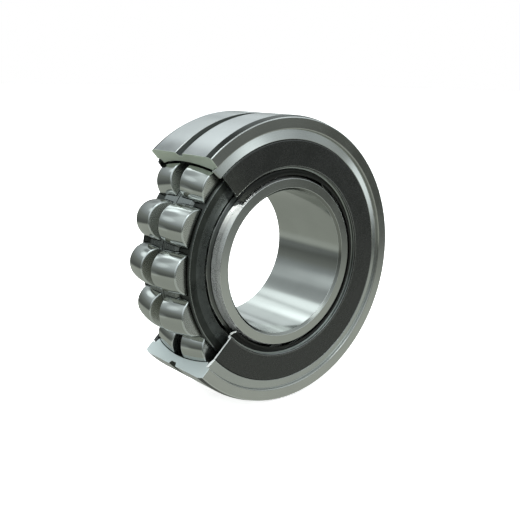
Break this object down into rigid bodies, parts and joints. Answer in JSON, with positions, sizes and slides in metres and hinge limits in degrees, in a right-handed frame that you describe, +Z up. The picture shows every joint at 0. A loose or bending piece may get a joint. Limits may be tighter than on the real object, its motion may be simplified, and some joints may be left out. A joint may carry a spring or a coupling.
{
  "type": "spherical roller bearing",
  "caption": "Sealed self-aligning roller bearing: barrel rollers in cages between an inner ring and a spherical outer raceway, with a sector cut away to show them.",
  "frame": {"origin": "centre of the bearing: on the bearing axis, midway between the ring faces, which is also the centre of the spherical raceway", "axes": "+Y along the bearing axis towards the rear face, +Z up, the cut-away sector faces -X, the front face in view faces -Y"},
  "size_m": [0.0767, 0.028, 0.08],
  "materials": {
    "ground_steel": "fine ground bearing steel, satin",
    "polished_steel": "ground and honed bearing steel, semi-bright",
    "roller_steel": "polished roller steel, bright",
    "cage_steel": "dark phosphated sheet steel, satin",
    "guide_steel": "machined steel, satin",
    "insert_steel": "bare stamped sheet steel, bright",
    "seal_rubber": "smooth moulded nitrile rubber",
    "lip_rubber": "smooth moulded nitrile rubber"
  },
  "bodies": {
    "outer_ring": {"outer_ring": "ground_steel", "front_seal_rim": "insert_steel", "front_seal_insert": "insert_steel", "front_seal_facing": "seal_rubber", "rear_seal_rim": "insert_steel", "rear_seal_insert": "insert_steel", "rear_seal_facing": "seal_rubber"},
    "front_lip": {"front_seal_lip": "lip_rubber"},
    "rear_lip": {"rear_seal_lip": "lip_rubber"},
    "inner_ring": {"inner_ring": "polished_steel"},
    "front_cage": {"front_cage": "cage_steel"},
    "rear_cage": {"rear_cage": "cage_steel"},
    "guide_ring": {"guide_ring": "guide_steel"},
    "roller_front_01": {"roller_front_01": "roller_steel"},
    "roller_front_02": {"roller_front_02": "roller_steel"},
    "roller_front_03": {"roller_front_03": "roller_steel"},
    "roller_front_04": {"roller_front_04": "roller_steel"},
    "roller_front_05": {"roller_front_05": "roller_steel"},
    "roller_front_06": {"roller_front_06": "roller_steel"},
    "roller_front_07": {"roller_front_07": "roller_steel"},
    "roller_front_08": {"roller_front_08": "roller_steel"},
    "roller_front_09": {"roller_front_09": "roller_steel"},
    "roller_front_10": {"roller_front_10": "roller_steel"},
    "roller_front_11": {"roller_front_11": "roller_steel"},
    "roller_front_12": {"roller_front_12": "roller_steel"},
    "roller_front_13": {"roller_front_13": "roller_steel"},
    "roller_front_14": {"roller_front_14": "roller_steel"},
    "roller_front_15": {"roller_front_15": "roller_steel"},
    "roller_front_16": {"roller_front_16": "roller_steel"},
    "roller_rear_01": {"roller_rear_01": "roller_steel"},
    "roller_rear_02": {"roller_rear_02": "roller_steel"},
    "roller_rear_03": {"roller_rear_03": "roller_steel"},
    "roller_rear_04": {"roller_rear_04": "roller_steel"},
    "roller_rear_05": {"roller_rear_05": "roller_steel"},
    "roller_rear_06": {"roller_rear_06": "roller_steel"},
    "roller_rear_07": {"roller_rear_07": "roller_steel"},
    "roller_rear_08": {"roller_rear_08": "roller_steel"},
    "roller_rear_09": {"roller_rear_09": "roller_steel"},
    "roller_rear_10": {"roller_rear_10": "roller_steel"},
    "roller_rear_11": {"roller_rear_11": "roller_steel"},
    "roller_rear_12": {"roller_rear_12": "roller_steel"},
    "roller_rear_13": {"roller_rear_13": "roller_steel"},
    "roller_rear_14": {"roller_rear_14": "roller_steel"},
    "roller_rear_15": {"roller_rear_15": "roller_steel"},
    "roller_rear_16": {"roller_rear_16": "roller_steel"}
  },
  "joints": [
    {"name": "align_x", "type": "hinge", "parent": "outer_ring", "child": "front_lip", "pos_m": [0, 0, 0], "axis": [1, 0, 0], "range_deg": [-0.5, 0.5]},
    {"name": "align_z", "type": "hinge", "parent": "front_lip", "child": "rear_lip", "pos_m": [0, 0, 0], "axis": [0, 0, 1], "range_deg": [-0.5, 0.5]},
    {"name": "inner_ring_spin", "type": "hinge", "parent": "rear_lip", "child": "inner_ring", "pos_m": [0, 0, 0], "axis": [0, 1, 0], "continuous": true},
    {"name": "front_cage_spin", "type": "hinge", "parent": "rear_lip", "child": "front_cage", "pos_m": [0, 0, 0], "axis": [0, 1, 0], "continuous": true},
    {"name": "rear_cage_spin", "type": "hinge", "parent": "rear_lip", "child": "rear_cage", "pos_m": [0, 0, 0], "axis": [0, 1, 0], "continuous": true},
    {"name": "guide_ring_spin", "type": "hinge", "parent": "rear_lip", "child": "guide_ring", "pos_m": [0, 0, 0], "axis": [0, 1, 0], "continuous": true},
    {"name": "roller_front_01_spin", "type": "hinge", "parent": "front_cage", "child": "roller_front_01", "pos_m": [-0.03078, -0.00582, 0], "axis": [-0.1857, 0.9826, 0], "continuous": true},
    {"name": "roller_front_02_spin", "type": "hinge", "parent": "front_cage", "child": "roller_front_02", "pos_m": [-0.02843, -0.00582, -0.01178], "axis": [-0.1715, 0.9826, -0.0711], "continuous": true},
    {"name": "roller_front_03_spin", "type": "hinge", "parent": "front_cage", "child": "roller_front_03", "pos_m": [-0.02176, -0.00582, -0.02176], "axis": [-0.1313, 0.9826, -0.1313], "continuous": true},
    {"name": "roller_front_04_spin", "type": "hinge", "parent": "front_cage", "child": "roller_front_04", "pos_m": [-0.01178, -0.00582, -0.02843], "axis": [-0.0711, 0.9826, -0.1715], "continuous": true},
    {"name": "roller_front_05_spin", "type": "hinge", "parent": "front_cage", "child": "roller_front_05", "pos_m": [0, -0.00582, -0.03078], "axis": [0, 0.9826, -0.1857], "continuous": true},
    {"name": "roller_front_06_spin", "type": "hinge", "parent": "front_cage", "child": "roller_front_06", "pos_m": [0.01178, -0.00582, -0.02843], "axis": [0.0711, 0.9826, -0.1715], "continuous": true},
    {"name": "roller_front_07_spin", "type": "hinge", "parent": "front_cage", "child": "roller_front_07", "pos_m": [0.02176, -0.00582, -0.02176], "axis": [0.1313, 0.9826, -0.1313], "continuous": true},
    {"name": "roller_front_08_spin", "type": "hinge", "parent": "front_cage", "child": "roller_front_08", "pos_m": [0.02843, -0.00582, -0.01178], "axis": [0.1715, 0.9826, -0.0711], "continuous": true},
    {"name": "roller_front_09_spin", "type": "hinge", "parent": "front_cage", "child": "roller_front_09", "pos_m": [0.03078, -0.00582, 0], "axis": [0.1857, 0.9826, 0], "continuous": true},
    {"name": "roller_front_10_spin", "type": "hinge", "parent": "front_cage", "child": "roller_front_10", "pos_m": [0.02843, -0.00582, 0.01178], "axis": [0.1715, 0.9826, 0.0711], "continuous": true},
    {"name": "roller_front_11_spin", "type": "hinge", "parent": "front_cage", "child": "roller_front_11", "pos_m": [0.02176, -0.00582, 0.02176], "axis": [0.1313, 0.9826, 0.1313], "continuous": true},
    {"name": "roller_front_12_spin", "type": "hinge", "parent": "front_cage", "child": "roller_front_12", "pos_m": [0.01178, -0.00582, 0.02843], "axis": [0.0711, 0.9826, 0.1715], "continuous": true},
    {"name": "roller_front_13_spin", "type": "hinge", "parent": "front_cage", "child": "roller_front_13", "pos_m": [0, -0.00582, 0.03078], "axis": [0, 0.9826, 0.1857], "continuous": true},
    {"name": "roller_front_14_spin", "type": "hinge", "parent": "front_cage", "child": "roller_front_14", "pos_m": [-0.01178, -0.00582, 0.02843], "axis": [-0.0711, 0.9826, 0.1715], "continuous": true},
    {"name": "roller_front_15_spin", "type": "hinge", "parent": "front_cage", "child": "roller_front_15", "pos_m": [-0.02176, -0.00582, 0.02176], "axis": [-0.1313, 0.9826, 0.1313], "continuous": true},
    {"name": "roller_front_16_spin", "type": "hinge", "parent": "front_cage", "child": "roller_front_16", "pos_m": [-0.02843, -0.00582, 0.01178], "axis": [-0.1715, 0.9826, 0.0711], "continuous": true},
    {"name": "roller_rear_01_spin", "type": "hinge", "parent": "rear_cage", "child": "roller_rear_01", "pos_m": [-0.03078, 0.00582, 0], "axis": [0.1857, 0.9826, 0], "continuous": true},
    {"name": "roller_rear_02_spin", "type": "hinge", "parent": "rear_cage", "child": "roller_rear_02", "pos_m": [-0.02843, 0.00582, -0.01178], "axis": [0.1715, 0.9826, 0.0711], "continuous": true},
    {"name": "roller_rear_03_spin", "type": "hinge", "parent": "rear_cage", "child": "roller_rear_03", "pos_m": [-0.02176, 0.00582, -0.02176], "axis": [0.1313, 0.9826, 0.1313], "continuous": true},
    {"name": "roller_rear_04_spin", "type": "hinge", "parent": "rear_cage", "child": "roller_rear_04", "pos_m": [-0.01178, 0.00582, -0.02843], "axis": [0.0711, 0.9826, 0.1715], "continuous": true},
    {"name": "roller_rear_05_spin", "type": "hinge", "parent": "rear_cage", "child": "roller_rear_05", "pos_m": [0, 0.00582, -0.03078], "axis": [0, 0.9826, 0.1857], "continuous": true},
    {"name": "roller_rear_06_spin", "type": "hinge", "parent": "rear_cage", "child": "roller_rear_06", "pos_m": [0.01178, 0.00582, -0.02843], "axis": [-0.0711, 0.9826, 0.1715], "continuous": true},
    {"name": "roller_rear_07_spin", "type": "hinge", "parent": "rear_cage", "child": "roller_rear_07", "pos_m": [0.02176, 0.00582, -0.02176], "axis": [-0.1313, 0.9826, 0.1313], "continuous": true},
    {"name": "roller_rear_08_spin", "type": "hinge", "parent": "rear_cage", "child": "roller_rear_08", "pos_m": [0.02843, 0.00582, -0.01178], "axis": [-0.1715, 0.9826, 0.0711], "continuous": true},
    {"name": "roller_rear_09_spin", "type": "hinge", "parent": "rear_cage", "child": "roller_rear_09", "pos_m": [0.03078, 0.00582, 0], "axis": [-0.1857, 0.9826, 0], "continuous": true},
    {"name": "roller_rear_10_spin", "type": "hinge", "parent": "rear_cage", "child": "roller_rear_10", "pos_m": [0.02843, 0.00582, 0.01178], "axis": [-0.1715, 0.9826, -0.0711], "continuous": true},
    {"name": "roller_rear_11_spin", "type": "hinge", "parent": "rear_cage", "child": "roller_rear_11", "pos_m": [0.02176, 0.00582, 0.02176], "axis": [-0.1313, 0.9826, -0.1313], "continuous": true},
    {"name": "roller_rear_12_spin", "type": "hinge", "parent": "rear_cage", "child": "roller_rear_12", "pos_m": [0.01178, 0.00582, 0.02843], "axis": [-0.0711, 0.9826, -0.1715], "continuous": true},
    {"name": "roller_rear_13_spin", "type": "hinge", "parent": "rear_cage", "child": "roller_rear_13", "pos_m": [0, 0.00582, 0.03078], "axis": [0, 0.9826, -0.1857], "continuous": true},
    {"name": "roller_rear_14_spin", "type": "hinge", "parent": "rear_cage", "child": "roller_rear_14", "pos_m": [-0.01178, 0.00582, 0.02843], "axis": [0.0711, 0.9826, -0.1715], "continuous": true},
    {"name": "roller_rear_15_spin", "type": "hinge", "parent": "rear_cage", "child": "roller_rear_15", "pos_m": [-0.02176, 0.00582, 0.02176], "axis": [0.1313, 0.9826, -0.1313], "continuous": true},
    {"name": "roller_rear_16_spin", "type": "hinge", "parent": "rear_cage", "child": "roller_rear_16", "pos_m": [-0.02843, 0.00582, 0.01178], "axis": [0.1715, 0.9826, -0.0711], "continuous": true}
  ],
  "couplings": [
    {"joint": "front_cage_spin", "follows": "inner_ring_spin", "ratio": 0.4122},
    {"joint": "rear_cage_spin", "follows": "inner_ring_spin", "ratio": 0.4122},
    {"joint": "guide_ring_spin", "follows": "inner_ring_spin", "ratio": 0.4122},
    {"joint": "roller_front_01_spin", "follows": "inner_ring_spin", "ratio": -2.7115},
    {"joint": "roller_front_02_spin", "follows": "inner_ring_spin", "ratio": -2.7115},
    {"joint": "roller_front_03_spin", "follows": "inner_ring_spin", "ratio": -2.7115},
    {"joint": "roller_front_04_spin", "follows": "inner_ring_spin", "ratio": -2.7115},
    {"joint": "roller_front_05_spin", "follows": "inner_ring_spin", "ratio": -2.7115},
    {"joint": "roller_front_06_spin", "follows": "inner_ring_spin", "ratio": -2.7115},
    {"joint": "roller_front_07_spin", "follows": "inner_ring_spin", "ratio": -2.7115},
    {"joint": "roller_front_08_spin", "follows": "inner_ring_spin", "ratio": -2.7115},
    {"joint": "roller_front_09_spin", "follows": "inner_ring_spin", "ratio": -2.7115},
    {"joint": "roller_front_10_spin", "follows": "inner_ring_spin", "ratio": -2.7115},
    {"joint": "roller_front_11_spin", "follows": "inner_ring_spin", "ratio": -2.7115},
    {"joint": "roller_front_12_spin", "follows": "inner_ring_spin", "ratio": -2.7115},
    {"joint": "roller_front_13_spin", "follows": "inner_ring_spin", "ratio": -2.7115},
    {"joint": "roller_front_14_spin", "follows": "inner_ring_spin", "ratio": -2.7115},
    {"joint": "roller_front_15_spin", "follows": "inner_ring_spin", "ratio": -2.7115},
    {"joint": "roller_front_16_spin", "follows": "inner_ring_spin", "ratio": -2.7115},
    {"joint": "roller_rear_01_spin", "follows": "inner_ring_spin", "ratio": -2.7115},
    {"joint": "roller_rear_02_spin", "follows": "inner_ring_spin", "ratio": -2.7115},
    {"joint": "roller_rear_03_spin", "follows": "inner_ring_spin", "ratio": -2.7115},
    {"joint": "roller_rear_04_spin", "follows": "inner_ring_spin", "ratio": -2.7115},
    {"joint": "roller_rear_05_spin", "follows": "inner_ring_spin", "ratio": -2.7115},
    {"joint": "roller_rear_06_spin", "follows": "inner_ring_spin", "ratio": -2.7115},
    {"joint": "roller_rear_07_spin", "follows": "inner_ring_spin", "ratio": -2.7115},
    {"joint": "roller_rear_08_spin", "follows": "inner_ring_spin", "ratio": -2.7115},
    {"joint": "roller_rear_09_spin", "follows": "inner_ring_spin", "ratio": -2.7115},
    {"joint": "roller_rear_10_spin", "follows": "inner_ring_spin", "ratio": -2.7115},
    {"joint": "roller_rear_11_spin", "follows": "inner_ring_spin", "ratio": -2.7115},
    {"joint": "roller_rear_12_spin", "follows": "inner_ring_spin", "ratio": -2.7115},
    {"joint": "roller_rear_13_spin", "follows": "inner_ring_spin", "ratio": -2.7115},
    {"joint": "roller_rear_14_spin", "follows": "inner_ring_spin", "ratio": -2.7115},
    {"joint": "roller_rear_15_spin", "follows": "inner_ring_spin", "ratio": -2.7115},
    {"joint": "roller_rear_16_spin", "follows": "inner_ring_spin", "ratio": -2.7115}
  ]
}
